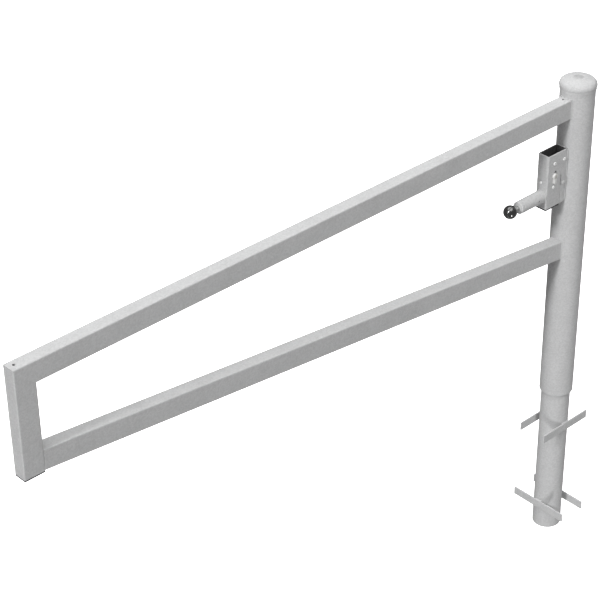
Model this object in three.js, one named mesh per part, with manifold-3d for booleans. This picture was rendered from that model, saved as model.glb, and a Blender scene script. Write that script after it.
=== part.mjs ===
// Parking barrier gate: a ground tube with welded anchors, a sleeve that turns on it, and a swing arm
// of rectangular tube with a lock box, a key-driven deadbolt and a sprung plunger.
// Millimetres, +Z up. The origin is on the post's axis at ground level, and the arm runs along -X.

import * as THREE from 'three';
import { mergeVertices } from 'three/addons/utils/BufferGeometryUtils.js';
import Module from 'manifold-3d';

const wasm = await Module();
wasm.setup();

// ---------------------------------------------------------------- driving dimensions

const GAP = 0.3; // air left between pieces that touch on the real object

// Ground tube and its anchors
const GROUND_R = 44.45;
const GROUND_WALL = 3.2;
const GROUND_BOTTOM = -500;
const GROUND_TOP = 988;
const ANCHOR_LENGTH = 200;
const ANCHOR_THICKNESS = 4;
const ANCHOR_HEIGHT = 28;
const ANCHOR_UPPER_Z = -106;
const ANCHOR_LOWER_Z = -414;

// Sleeve and cap
const SLEEVE_R = 50.8;
const SLEEVE_WALL = 3.6;
const SLEEVE_BOTTOM = 20;
const SLEEVE_TOP = 1062;
const CAP_BOTTOM = 1045.5;
const BUSH_HEIGHT = 40;
const LOWER_BUSH_INSET = 4; // up from the sleeve's lower edge
const UPPER_BUSH_INSET = 8; // down from the ground tube's top
const TUBE_SEGMENTS = 72;

// Arm: u is the distance from the post's axis along the arm
const ARM_END = 1950;
const RAIL_HEIGHT = 60;
const RAIL_WIDTH = 40;
const RAIL_WALL = 2;
const RAIL_CORNER = 3;
const UPPER_RAIL_TOP = 1030;
const STILE_BOTTOM = 720;
const LOWER_RAIL_SLOPE = THREE.MathUtils.degToRad(6.5);
const VENT_R = 3.8;
const VENT_INSET = 17; // from the free end of the upper rail
const VENT_NEAR_POST = 61; // from the post's axis
const PLUG_FLANGE = 4;
const PLUG_STUB = 14;
const PLUG_WALL = 2.5;

// Lock box on the sleeve
const BOX_LENGTH = 80;
const BOX_WIDTH = 40;
const BOX_WALL = 3;
const BOX_CORNER = 4;
const BOX_BOTTOM = 710;
const BOX_TOP = 880;
const BOX_INNER_U = SLEEVE_R + GAP; // the side against the sleeve
const BOX_OUTER_U = BOX_INNER_U + BOX_LENGTH;

// Plunger along the arm, through box, sleeve and ground tube
const PLUNGER_Z = 748;
const PLUNGER_R = 10;
const PLUNGER_HOLE_R = 11;
const PLUNGER_TIP_U = 46;
const SHOULDER_U = 150;
const ROD_R = 6;
const HOUSING_R = 19;
const HOUSING_BORE_R = 16;
const HOUSING_END_U = 219;
const HOUSING_VENT_R = 3;
const HOUSING_VENT_U = 159;
const KNOB_R = 20;
const KNOB_U = 261;
const KNOB_FLAT_U = 243.5;

// Lock case, half profile cylinder and deadbolt
const CYLINDER_U = 102;
const CYLINDER_Z = 811;
const CYLINDER_FRONT_Y = -27;
const CYLINDER_LENGTH = 40;
const CAM_SLOT_Y = [-2, 8];
const CAM_R = 15;
const CAM_PARK = THREE.MathUtils.degToRad(30); // where the cam rests, from straight down
const CYLINDER_SCREW_DROP = 20; // below the cylinder's axis
const CYLINDER_SCREW_R = 2.5;
const CYLINDER_SCREW_HEAD = [4.75, 2.6]; // radius and height
const PROFILE_BARREL_R = 8.5;
const PROFILE_LEG_R = 5;
const PROFILE_LEG_DROP = 19.5; // from the barrel's centre to the centre of the leg's round end
const KEY_PLUG_R = 6.5;
const CASE_U = [54.6, 121];
const CASE_Y = [-16.7, 10.3];
const CASE_Z = [765, 857];
const CASE_WALL = 2;
const SCREW_US = [63, 103.5];
const SCREW_ZS = [775.5, 851];
const SCREW_R = 3;
const SCREW_HEAD = [5.5, 3.3]; // radius and height
const SCREW_CLEARANCE = 0.4;
const BOLT_Z = 839;
const BOLT_SECTION = [8, 22]; // in Y and Z
const BOLT_Y = 3;
const BOLT_U = [50, 108];

// Index positions of the gate: where the ground tube is pierced, in degrees from the +X direction
const INDEX_ANGLES = [180, 270, 90];

// ---------------------------------------------------------------- small tools

/** A MeshStandardMaterial from a colour, a roughness and a metalness. */
function finish(color, roughness, metalness) {
  return new THREE.MeshStandardMaterial({ color, roughness, metalness });
}

const galvanised = () => finish(0xb4b6b8, 0.55, 0.75);
const zincPlated = () => finish(0xd6d8d6, 0.3, 0.85);
const darkSteel = () => finish(0x6d7073, 0.45, 0.8);
const blackPlastic = () => finish(0x17181a, 0.6, 0);
const glossBlack = () => finish(0x0a0a0b, 0.12, 0);
const palePlastic = () => finish(0xdcdcd4, 0.5, 0);
const springSteel = () => finish(0x8a8d90, 0.35, 0.9);
const brass = () => finish(0xb99a4b, 0.35, 0.9);

/** A three.js geometry as a Manifold solid. */
function solid(geometry) {
  const bare = geometry.clone();
  bare.deleteAttribute('normal');
  bare.deleteAttribute('uv');
  const merged = mergeVertices(bare, 1e-4);
  const mesh = new wasm.Mesh({
    numProp: 3,
    vertProperties: new Float32Array(merged.attributes.position.array),
    triVerts: new Uint32Array(merged.index.array),
  });
  return new wasm.Manifold(mesh);
}

/** A Manifold solid as a three.js geometry. */
function geometryOf(manifold) {
  const mesh = manifold.getMesh();
  const geometry = new THREE.BufferGeometry();
  geometry.setAttribute('position', new THREE.BufferAttribute(new Float32Array(mesh.vertProperties), 3));
  geometry.setIndex(new THREE.BufferAttribute(new Uint32Array(mesh.triVerts), 1));
  geometry.computeVertexNormals();
  return geometry;
}

/** The first geometry less all the others. */
function cut(geometry, ...tools) {
  let result = solid(geometry);
  for (const tool of tools.flat()) result = result.subtract(solid(tool));
  return geometryOf(result);
}

/** Several overlapping geometries as one body. */
function join(...pieces) {
  let result = solid(pieces[0]);
  for (const piece of pieces.slice(1)) result = result.add(solid(piece));
  return geometryOf(result);
}

/** A centred cylinder along the x, y or z axis. */
function rod(axis, radius, length, segments = 32) {
  const geometry = new THREE.CylinderGeometry(radius, radius, length, segments);
  if (axis === 'x') geometry.rotateZ(-Math.PI / 2);
  if (axis === 'z') geometry.rotateX(Math.PI / 2);
  return geometry;
}

/** A cylinder along Y between two y values. */
function rodAcross(radius, [front, back], segments = 32) {
  return rod('y', radius, back - front, segments).translate(0, (front + back) / 2, 0);
}

/** A box from its lowest to its highest corner. */
function block(low, high) {
  const size = high.map((value, i) => value - low[i]);
  const geometry = new THREE.BoxGeometry(...size);
  return geometry.translate(...low.map((value, i) => value + size[i] / 2));
}

/** A ring or solid of revolution about Z from [radius, z] points. */
function turned(points, segments = 48) {
  const profile = points.map(([r, z]) => new THREE.Vector2(r, z));
  return new THREE.LatheGeometry(profile, segments).rotateX(Math.PI / 2);
}

/** A flat ring about Z, from its lowest to its highest z. */
function ring(inner, outer, low, high, segments = 48) {
  return turned([[inner, low], [outer, low], [outer, high], [inner, high], [inner, low]], segments);
}

/** A rectangle with round corners, centred, as a closed path of the given class. */
function roundedRectangle(Path, width, height, radius) {
  const path = new Path();
  const [x, y] = [width / 2 - radius, height / 2 - radius];
  const corners = [[x, -y], [x, y], [-x, y], [-x, -y]];
  corners.forEach(([cx, cy], i) => path.absarc(cx, cy, radius, (i - 1) * Math.PI / 2, i * Math.PI / 2, false));
  path.closePath();
  return path;
}

/** A rectangular hollow section along +Z, centred on the axis. */
function hollowSection(width, height, wall, corner, length) {
  const shape = roundedRectangle(THREE.Shape, width, height, corner);
  const innerCorner = Math.max(corner - wall, 0.5);
  shape.holes.push(roundedRectangle(THREE.Path, width - 2 * wall, height - 2 * wall, innerCorner));
  return new THREE.ExtrudeGeometry(shape, { depth: length, bevelEnabled: false, curveSegments: 2 });
}

/** A box that fills the side of a plane that its normal points to. */
function halfSpace(point, normal, size = 400) {
  const geometry = new THREE.BoxGeometry(size, size, size).translate(0, 0, size / 2);
  const up = new THREE.Vector3(0, 0, 1);
  const turn = new THREE.Quaternion().setFromUnitVectors(up, normal.clone().normalize());
  return geometry.applyQuaternion(turn).translate(point.x, point.y, point.z);
}

/** The outline of a profile cylinder: a round barrel with a leg hanging from it, grown by a clearance. */
function profileOutline(clearance = 0) {
  const barrel = PROFILE_BARREL_R + clearance;
  const leg = PROFILE_LEG_R + clearance;
  const meet = Math.asin(leg / barrel);
  const shape = new THREE.Shape();
  shape.absarc(0, 0, barrel, -Math.PI / 2 + meet, 1.5 * Math.PI - meet, false);
  shape.absarc(0, -PROFILE_LEG_DROP, leg, Math.PI, 2 * Math.PI, false);
  shape.closePath();
  return shape;
}

/** The profile outline extruded along Y, between two y values. */
function profileBar(clearance, [front, back]) {
  const shape = profileOutline(clearance);
  const bar = new THREE.ExtrudeGeometry(shape, { depth: back - front, bevelEnabled: false, curveSegments: 8 });
  return bar.rotateX(Math.PI / 2).translate(0, back, 0);
}

/** A named mesh at a place. */
function piece(name, geometry, material, place = [0, 0, 0]) {
  const mesh = new THREE.Mesh(geometry, material);
  mesh.name = name;
  mesh.position.set(...place);
  return mesh;
}

// ---------------------------------------------------------------- ground part

/** The holes that the plunger and the deadbolt enter at one index position of the gate. */
function indexHoles(angle) {
  const span = 30;
  const clearance = 2;
  const slotHalf = BOLT_SECTION.map((size) => size / 2 + clearance);
  const round = rod('x', PLUNGER_HOLE_R, span).translate(GROUND_R, 0, PLUNGER_Z - GROUND_BOTTOM);
  const low = [GROUND_R - span / 2, -BOLT_Y - slotHalf[0], BOLT_Z - slotHalf[1] - GROUND_BOTTOM];
  const high = [GROUND_R + span / 2, -BOLT_Y + slotHalf[0], BOLT_Z + slotHalf[1] - GROUND_BOTTOM];
  const turn = THREE.MathUtils.degToRad(angle);
  return [round.rotateZ(turn), block(low, high).rotateZ(turn)];
}

/** The tube that is set in concrete, pierced at each index position. */
function groundTube() {
  const tube = ring(GROUND_R - GROUND_WALL, GROUND_R, 0, GROUND_TOP - GROUND_BOTTOM, TUBE_SEGMENTS);
  const holes = INDEX_ANGLES.flatMap(indexHoles);
  return piece('ground_tube', cut(tube, holes), galvanised(), [0, 0, GROUND_BOTTOM]);
}

/** Flat bars on edge, welded to the tube: two along X above, two along Y below. */
function anchorBars() {
  const offset = GROUND_R + GAP + ANCHOR_THICKNESS / 2;
  const places = [
    { along: 'x', at: [0, -offset, ANCHOR_UPPER_Z] },
    { along: 'x', at: [0, offset, ANCHOR_UPPER_Z] },
    { along: 'y', at: [-offset, 0, ANCHOR_LOWER_Z] },
    { along: 'y', at: [offset, 0, ANCHOR_LOWER_Z] },
  ];
  return places.map(({ along, at }, i) => {
    const bar = new THREE.BoxGeometry(ANCHOR_LENGTH, ANCHOR_THICKNESS, ANCHOR_HEIGHT);
    const mesh = piece(`anchor_bar_${i + 1}`, bar, galvanised(), at);
    if (along === 'y') mesh.rotation.z = Math.PI / 2;
    return mesh;
  });
}

// The stack on top of the ground tube, from the plate up
const PLATE_Z = GROUND_TOP + GAP;
const PLATE_THICKNESS = 8;
const WASHER_Z = PLATE_Z + PLATE_THICKNESS + GAP;
const WASHER_THICKNESS = 4;
const DISC_Z = WASHER_Z + WASHER_THICKNESS + GAP;
const DISC_THICKNESS = 10;
const KEEPER_Z = DISC_Z + DISC_THICKNESS + GAP;
const KEEPER_THICKNESS = 4;
const RETAINER_R = 8;
const RETAINER_LENGTH = 40;
const RETAINER_HEAD = [13.8, 10]; // radius over the corners, and height

/** The top plate, thrust washer, and the bolt and washer that keep the sleeve from being lifted off. */
function postHead() {
  const plate = ring(RETAINER_R + GAP, GROUND_R, 0, PLATE_THICKNESS);
  const washerR = 40;
  const keeperR = 20;
  const washer = ring(RETAINER_R + 1, washerR, 0, WASHER_THICKNESS);
  const keeper = ring(RETAINER_R + GAP, keeperR, 0, KEEPER_THICKNESS);
  const [headR, headHeight] = RETAINER_HEAD;
  const head = rod('z', headR, headHeight, 6).translate(0, 0, headHeight / 2);
  const shank = rod('z', RETAINER_R, RETAINER_LENGTH + 1).translate(0, 0, (1 - RETAINER_LENGTH) / 2);
  return [
    piece('post_top_plate', plate, galvanised(), [0, 0, PLATE_Z]),
    piece('thrust_washer', washer, palePlastic(), [0, 0, WASHER_Z]),
    piece('retaining_washer', keeper, zincPlated(), [0, 0, KEEPER_Z]),
    piece('retaining_bolt', join(head, shank), zincPlated(), [0, 0, KEEPER_Z + KEEPER_THICKNESS + GAP]),
  ];
}

// ---------------------------------------------------------------- sleeve, bushes and cap

/** The turning tube, pierced for the plunger and the deadbolt. */
function sleeve() {
  const tube = ring(SLEEVE_R - SLEEVE_WALL, SLEEVE_R, 0, SLEEVE_TOP - SLEEVE_BOTTOM, TUBE_SEGMENTS);
  const reach = 15; // of each cutter, to both sides of the tube's outside
  const round = rod('x', PLUNGER_HOLE_R, 2 * reach).translate(-SLEEVE_R, 0, PLUNGER_Z - SLEEVE_BOTTOM);
  const slot = boltPassage(SLEEVE_R - reach, SLEEVE_R + reach).translate(0, 0, -SLEEVE_BOTTOM);
  return piece('sleeve', cut(tube, round, slot), galvanised(), [0, 0, SLEEVE_BOTTOM]);
}

/** The deadbolt's way through a wall, between two distances from the post's axis. */
function boltPassage(from, to) {
  const clearance = 1;
  const [y, z] = BOLT_SECTION.map((size) => size / 2 + clearance);
  return block([-to, BOLT_Y - y, BOLT_Z - z], [-from, BOLT_Y + y, BOLT_Z + z]);
}

/** Plastic bushes pressed into the sleeve, and the disc that rests on the thrust washer. */
function sleeveBearings() {
  const bushInner = GROUND_R + GAP;
  const bushOuter = SLEEVE_R - SLEEVE_WALL - GAP;
  const bush = () => ring(bushInner, bushOuter, 0, BUSH_HEIGHT, TUBE_SEGMENTS);
  const disc = ring(RETAINER_R + 1.5, bushOuter, 0, DISC_THICKNESS, TUBE_SEGMENTS);
  const upperZ = GROUND_TOP - UPPER_BUSH_INSET - BUSH_HEIGHT;
  return [
    piece('lower_bush', bush(), palePlastic(), [0, 0, SLEEVE_BOTTOM + LOWER_BUSH_INSET]),
    piece('upper_bush', bush(), palePlastic(), [0, 0, upperZ]),
    piece('bearing_disc', disc, galvanised(), [0, 0, DISC_Z]),
  ];
}

/** The slip-over cap: a straight skirt, a slightly wider bead, a rounded edge and a low dome. */
function cap() {
  const skirtR = 52.6;
  const beadR = 54;
  const edgeR = 17;
  const edgeZ = 12; // where the rounded edge starts, above the cap's rim
  const beadZ = edgeZ - 2;
  const dome = 6;
  const edgeSteps = 6;
  const profile = [[skirtR, 0], [skirtR, beadZ - 1], [beadR, beadZ]];
  for (let i = 0; i <= edgeSteps; i += 1) {
    const a = (i / edgeSteps) * (Math.PI / 2);
    profile.push([beadR - edgeR + edgeR * Math.cos(a), edgeZ + edgeR * Math.sin(a)]);
  }
  const flatR = beadR - edgeR;
  for (const part of [0.7, 0.4, 0]) {
    profile.push([flatR * part, edgeZ + edgeR + dome * (1 - part * part)]);
  }
  // The hollow side: a vaulted roof, the seat on the sleeve's edge, and the bore of the skirt.
  const seatZ = SLEEVE_TOP - CAP_BOTTOM + GAP;
  const boreR = SLEEVE_R + GAP;
  profile.push([0, seatZ + 9], [30, seatZ + 7.5], [44, seatZ + 2], [46, seatZ]);
  profile.push([boreR, seatZ], [boreR, 0], [skirtR, 0]);
  return piece('cap', turned(profile, 56), galvanised(), [0, 0, CAP_BOTTOM]);
}

// ---------------------------------------------------------------- arm

/** A cylinder the size of the sleeve, grown by the gap, that copes a rail's end. */
function sleeveCope(height) {
  return rod('z', SLEEVE_R + GAP, height, TUBE_SEGMENTS);
}

/** The plane of the mitre between upper rail and end stile; the normal points along it to one side. */
function mitrePlane(side) {
  const normal = new THREE.Vector3(-1, 0, -1).multiplyScalar(side).normalize();
  const corner = new THREE.Vector3(-ARM_END, 0, UPPER_RAIL_TOP);
  return { point: corner.addScaledVector(normal, -GAP / 2), normal };
}

/** The horizontal rail, coped to the sleeve and mitred at its free end, with two vent holes on top. */
function upperRail() {
  const z = UPPER_RAIL_TOP - RAIL_HEIGHT / 2;
  const start = 30; // inside the sleeve, before the cope
  const tube = hollowSection(RAIL_HEIGHT, RAIL_WIDTH, RAIL_WALL, RAIL_CORNER, ARM_END - start);
  tube.rotateY(-Math.PI / 2).translate(-start, 0, 0);
  const { point, normal } = mitrePlane(1);
  const mitre = halfSpace(point.clone().setZ(point.z - z), normal);
  const vents = [VENT_NEAR_POST, ARM_END - VENT_INSET].map((u) => {
    return rod('z', VENT_R, 10, 20).translate(-u, 0, RAIL_HEIGHT / 2);
  });
  return piece('upper_rail', cut(tube, sleeveCope(100), mitre, vents), galvanised(), [0, 0, z]);
}

/** The upright at the free end, mitred under the upper rail and open at its foot. */
function endStile() {
  const height = UPPER_RAIL_TOP - STILE_BOTTOM;
  const tube = hollowSection(RAIL_HEIGHT, RAIL_WIDTH, RAIL_WALL, RAIL_CORNER, height);
  const place = [-ARM_END + RAIL_HEIGHT / 2, 0, STILE_BOTTOM];
  const { point, normal } = mitrePlane(-1);
  const local = point.clone().sub(new THREE.Vector3(...place));
  return piece('end_stile', cut(tube, halfSpace(local, normal)), galvanised(), place);
}

/** The sloping rail, from the sleeve to the foot of the end stile. */
function lowerRail() {
  const stileU = ARM_END - RAIL_HEIGHT;
  const halfDrop = RAIL_HEIGHT / 2 / Math.cos(LOWER_RAIL_SLOPE);
  const axisZ = STILE_BOTTOM + halfDrop - stileU * Math.tan(LOWER_RAIL_SLOPE);
  const length = ARM_END / Math.cos(LOWER_RAIL_SLOPE);
  const tube = hollowSection(RAIL_HEIGHT, RAIL_WIDTH, RAIL_WALL, RAIL_CORNER, length).rotateY(-Math.PI / 2);
  const pose = new THREE.Matrix4().makeRotationY(LOWER_RAIL_SLOPE).setPosition(0, 0, axisZ);
  const cope = sleeveCope(300).translate(0, 0, axisZ);
  const beyondStile = halfSpace(new THREE.Vector3(-stileU + GAP, 0, STILE_BOTTOM), new THREE.Vector3(-1, 0, 0));
  const toRail = pose.clone().invert();
  const ends = [cope, beyondStile].map((geometry) => geometry.applyMatrix4(toRail));
  // What is left on the far side of the post goes with a block behind the axis.
  const behind = block([-20, -100, -100], [100, 100, 100]);
  const mesh = piece('lower_rail', cut(tube, ends, behind), galvanised(), [0, 0, axisZ]);
  mesh.rotation.y = LOWER_RAIL_SLOPE;
  return mesh;
}

/** A push-in plug for a rectangular tube: a flat flange and a hollow stub, with its top at z = 0. */
function tubePlug(length, width, corner, wall) {
  const flange = roundedRectangle(THREE.Shape, length, width, corner);
  const depth = PLUG_FLANGE;
  const plate = new THREE.ExtrudeGeometry(flange, { depth, bevelEnabled: false, curveSegments: 2 });
  const inside = [length, width].map((size) => size - 2 * (wall + GAP));
  const stubCorner = 1.5;
  const stub = hollowSection(...inside, PLUG_WALL, stubCorner, PLUG_STUB + 1).translate(0, 0, -1);
  return join(plate.translate(0, 0, -PLUG_FLANGE), stub);
}

/** The plastic plug in the stile's foot. */
function stilePlug() {
  const plug = tubePlug(RAIL_HEIGHT, RAIL_WIDTH, RAIL_CORNER, RAIL_WALL);
  return piece('stile_plug', plug, blackPlastic(), [-ARM_END + RAIL_HEIGHT / 2, 0, STILE_BOTTOM - GAP]);
}

// ---------------------------------------------------------------- lock box

// The chamber left of the guide block takes a standard plug; the kerf beside the block is open above it
const GUIDE_U = [BOX_INNER_U + BOX_WALL + GAP, 72];
const GUIDE_TOP = 764;
const KERF_WIDTH = 2.5;
const KERF_TOP = 804;
const GROOVE_WIDTH = 1.2;
const GROOVE_DEPTH = 1;
const RELIEF_R = 4; // the round relief that opens into the cylinder's hole, at its top
const RELIEF_PLACE = [-CYLINDER_U + 5, 0, CYLINDER_Z + 11];

/** The holes in the box for the plunger, the deadbolt, the cylinder, the screws and the kerf. */
function boxCuts() {
  const middle = (BOX_INNER_U + BOX_OUTER_U) / 2;
  const front = -BOX_WIDTH / 2;
  const beyond = 5; // of each cutter, past the wall it goes through
  const through = [front - beyond, front + BOX_WALL + beyond];
  const plunger = rod('x', PLUNGER_HOLE_R, BOX_LENGTH + 4 * beyond).translate(-middle, 0, PLUNGER_Z);
  const deadbolt = boltPassage(BOX_INNER_U - beyond, BOX_INNER_U + BOX_WALL + beyond);
  const profile = profileBar(0.6, through).translate(-CYLINDER_U, 0, CYLINDER_Z);
  const relief = rodAcross(RELIEF_R, through, 20).translate(...RELIEF_PLACE);
  const screwHole = () => rodAcross(SCREW_R + SCREW_CLEARANCE, through, 16);
  const screws = screwPlaces().map(([x, z]) => screwHole().translate(x, 0, z));
  const screwZ = CYLINDER_Z - CYLINDER_SCREW_DROP;
  const cylinderScrew = rod('x', CYLINDER_SCREW_R + SCREW_CLEARANCE, 4 * beyond, 16);
  cylinderScrew.translate(-BOX_OUTER_U, camCentreY(), screwZ);
  const kerfLow = [-GUIDE_U[1] - KERF_WIDTH, through[0], GUIDE_TOP + 2];
  const kerf = block(kerfLow, [-GUIDE_U[1], through[1], KERF_TOP]);
  const grooveLow = [-GUIDE_U[1] - GROOVE_WIDTH, front - beyond, BOX_BOTTOM - beyond];
  const groove = block(grooveLow, [-GUIDE_U[1], front + GROOVE_DEPTH, GUIDE_TOP + beyond]);
  return [plunger, deadbolt, profile, relief, ...screws, cylinderScrew, kerf, groove];
}

/** The [x, z] places of the four case screws. */
function screwPlaces() {
  return SCREW_ZS.flatMap((z) => SCREW_US.map((u) => [-u, z]));
}

/** The y of the middle of the cam's slot, where the cylinder's fixing screw enters. */
function camCentreY() {
  return (CAM_SLOT_Y[0] + CAM_SLOT_Y[1]) / 2;
}

/** The box, its plug, and the block that guides the plunger. */
function lockBox() {
  const middle = (BOX_INNER_U + BOX_OUTER_U) / 2;
  const tube = hollowSection(BOX_LENGTH, BOX_WIDTH, BOX_WALL, BOX_CORNER, BOX_TOP - BOX_BOTTOM);
  tube.translate(-middle, 0, BOX_BOTTOM);
  const chamber = BOX_OUTER_U - GUIDE_U[1];
  const plug = tubePlug(chamber, BOX_WIDTH, BOX_CORNER, BOX_WALL);
  const halfWidth = BOX_WIDTH / 2 - BOX_WALL - GAP;
  const guide = block([-GUIDE_U[1], -halfWidth, BOX_BOTTOM + 1], [-GUIDE_U[0], halfWidth, GUIDE_TOP]);
  const boreR = PLUNGER_R + 0.5;
  const bore = rod('x', boreR, 60, 48).translate(-(GUIDE_U[0] + GUIDE_U[1]) / 2, 0, PLUNGER_Z);
  return [
    piece('lock_box', cut(tube, boxCuts()), galvanised()),
    piece('box_plug', plug, blackPlastic(), [-BOX_OUTER_U + chamber / 2, 0, BOX_BOTTOM - GAP]),
    piece('guide_block', cut(guide, bore), darkSteel()),
  ];
}

/** The lock case: an open tray with its floor against the box's front wall, and a cover behind. */
function lockCase() {
  const coverY = CASE_Y[1] - CASE_WALL;
  const profileClearance = 0.5;
  const outer = block([-CASE_U[1], CASE_Y[0], CASE_Z[0]], [-CASE_U[0], coverY - GAP, CASE_Z[1]]);
  const low = [-CASE_U[1] + CASE_WALL, CASE_Y[0] + CASE_WALL, CASE_Z[0] + CASE_WALL];
  const high = [-CASE_U[0] - CASE_WALL, CASE_Y[1] + 5, CASE_Z[1] - CASE_WALL];
  const floor = [CASE_Y[0] - 2, CASE_Y[0] + CASE_WALL + 2];
  const screwHole = () => rodAcross(SCREW_R + SCREW_CLEARANCE, floor, 16);
  const screws = screwPlaces().map(([x, z]) => screwHole().translate(x, 0, z));
  const screwZ = CYLINDER_Z - CYLINDER_SCREW_DROP;
  const tray = cut(
    outer,
    block(low, high),
    profileBar(profileClearance, floor).translate(-CYLINDER_U, 0, CYLINDER_Z),
    boltPassage(CASE_U[0] - 5, CASE_U[0] + CASE_WALL + 5),
    rod('x', CYLINDER_SCREW_R + SCREW_CLEARANCE, 12, 16).translate(-CASE_U[1], camCentreY(), screwZ),
    screws,
  );
  const plate = block([-CASE_U[1], coverY, CASE_Z[0]], [-CASE_U[0], CASE_Y[1], CASE_Z[1]]);
  const window = profileBar(profileClearance, [coverY - 2, CASE_Y[1] + 2]);
  window.translate(-CYLINDER_U, 0, CYLINDER_Z);
  return [
    piece('lock_case', tray, zincPlated()),
    piece('lock_case_cover', cut(plate, window), zincPlated()),
  ];
}

/** A button-head screw along +Z: its head stands on z = 0 and its shank goes down. */
function buttonScrew([headR, headHeight], shankR, shankLength) {
  const profile = [[0, -shankLength], [shankR, -shankLength], [shankR, 0], [headR, 0]];
  profile.push([headR * 0.95, headHeight * 0.35], [headR * 0.72, headHeight * 0.8], [headR * 0.45, headHeight]);
  profile.push([0, headHeight]);
  return turned(profile, 24);
}

/** The four screws that hold the lock case to the box's front wall. */
function caseScrews() {
  const shankLength = 9;
  return screwPlaces().map(([x, z], i) => {
    const screw = buttonScrew(SCREW_HEAD, SCREW_R, shankLength);
    const mesh = piece(`case_screw_${i + 1}`, screw, zincPlated(), [x, -BOX_WIDTH / 2 - GAP, z]);
    mesh.rotation.x = Math.PI / 2;
    return mesh;
  });
}

/** The half profile cylinder: its body with the plug's bore and the cam's slot, and its fixing screw. */
function cylinderFixed() {
  const back = CYLINDER_FRONT_Y + CYLINDER_LENGTH;
  const bar = profileBar(0, [CYLINDER_FRONT_Y, back]);
  const bore = rodAcross(KEY_PLUG_R + GAP, [CYLINDER_FRONT_Y - 1, CAM_SLOT_Y[0] + 1]);
  const slotR = CAM_R + 0.8;
  const slot = rodAcross(slotR, CAM_SLOT_Y, 40);
  const threadR = CYLINDER_SCREW_R + GAP;
  const thread = rod('x', threadR, 30, 16).translate(0, camCentreY(), -CYLINDER_SCREW_DROP);
  const body = cut(bar, bore, slot, thread);
  const screwLength = BOX_OUTER_U - CYLINDER_U + 4;
  const screw = buttonScrew(CYLINDER_SCREW_HEAD, CYLINDER_SCREW_R, screwLength);
  const place = [-BOX_OUTER_U - GAP, camCentreY(), CYLINDER_Z - CYLINDER_SCREW_DROP];
  const screwMesh = piece('cylinder_screw', screw, zincPlated(), place);
  screwMesh.rotation.y = -Math.PI / 2;
  return [piece('cylinder_body', body, zincPlated(), [-CYLINDER_U, 0, CYLINDER_Z]), screwMesh];
}

/** What turns with the key: the plug with its keyway, and the cam that throws the deadbolt. */
function cylinderTurning() {
  const barrel = rodAcross(KEY_PLUG_R, [CYLINDER_FRONT_Y - GAP, CAM_SLOT_Y[0] - 2 * GAP]);
  const keywayHalf = 1.2;
  const keywayZ = [-5, 3.5];
  const keywayEnd = CAM_SLOT_Y[0] - 1;
  const keyway = block([-keywayHalf, CYLINDER_FRONT_Y - 5, keywayZ[0]], [keywayHalf, keywayEnd, keywayZ[1]]);
  const hubR = 7.5;
  const tipHalf = 3.5;
  const camY = [CAM_SLOT_Y[0] + GAP, CAM_SLOT_Y[1] - GAP];
  const hub = rodAcross(hubR, camY);
  const tip = block([-tipHalf, camY[0], -CAM_R + GAP], [tipHalf, camY[1], 0]);
  const cam = join(hub, tip).rotateY(-CAM_PARK);
  const place = [-CYLINDER_U, 0, CYLINDER_Z];
  return [
    piece('cylinder_plug', cut(barrel, keyway), brass(), place),
    piece('cylinder_cam', cam, darkSteel(), place),
  ];
}

/** The deadbolt, at rest with its tip inside the sleeve's wall. */
function lockBolt() {
  const [width, height] = BOLT_SECTION;
  const length = BOLT_U[1] - BOLT_U[0];
  const bar = new THREE.BoxGeometry(length, width, height);
  return piece('lock_bolt', bar, darkSteel(), [-(BOLT_U[0] + BOLT_U[1]) / 2, BOLT_Y, BOLT_Z]);
}

// ---------------------------------------------------------------- plunger, drawn with +Z away from the post

const SPRING_SEAT_THICKNESS = 5;
const END_CAP_STUB = 10; // how far the end cap goes into the housing

/** The housing tube welded to the box's end, with its vent hole, and its screwed end cap. */
function plungerHousing() {
  const tube = ring(HOUSING_BORE_R, HOUSING_R, BOX_OUTER_U + GAP, HOUSING_END_U);
  const ventDepth = [-HOUSING_R - 1, -HOUSING_BORE_R + 1];
  const vent = rodAcross(HOUSING_VENT_R, ventDepth, 20).translate(0, 0, HOUSING_VENT_U);
  const stubR = HOUSING_BORE_R - GAP;
  const neckR = 17.6; // of the groove beside the housing
  const headR = 18.7;
  const noseR = 16.2;
  const bossR = 11;
  const bore = ROD_R + 0.4;
  const face = HOUSING_END_U + GAP;
  const inner = face - END_CAP_STUB;
  const nose = face + 10;
  const boss = nose + 1.5;
  const profile = [[bore, inner], [stubR, inner], [stubR, face], [neckR, face], [headR, face + 1.2]];
  profile.push([headR, face + 7.5], [noseR, nose], [bossR, nose], [bossR, boss], [bore, boss], [bore, inner]);
  return [
    piece('plunger_housing', cut(tube, vent), galvanised()),
    piece('housing_end_cap', turned(profile), galvanised()),
  ];
}

/** The turned bolt: a thick guided end with a chamfered tip, a shoulder, and a thin rod to the knob. */
function plungerBolt() {
  const tip = 3;
  const profile = [[0, PLUNGER_TIP_U], [PLUNGER_R - tip, PLUNGER_TIP_U], [PLUNGER_R, PLUNGER_TIP_U + tip]];
  profile.push([PLUNGER_R, SHOULDER_U], [ROD_R, SHOULDER_U], [ROD_R, KNOB_U], [0, KNOB_U]);
  return piece('plunger_bolt', turned(profile, 40), zincPlated());
}

/** The seat that the spring pushes against the bolt's shoulder. */
function springSeat() {
  const low = SHOULDER_U + GAP;
  const seat = ring(ROD_R + GAP, HOUSING_BORE_R - 1, low, low + SPRING_SEAT_THICKNESS, 40);
  return piece('spring_seat', seat, zincPlated());
}

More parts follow.
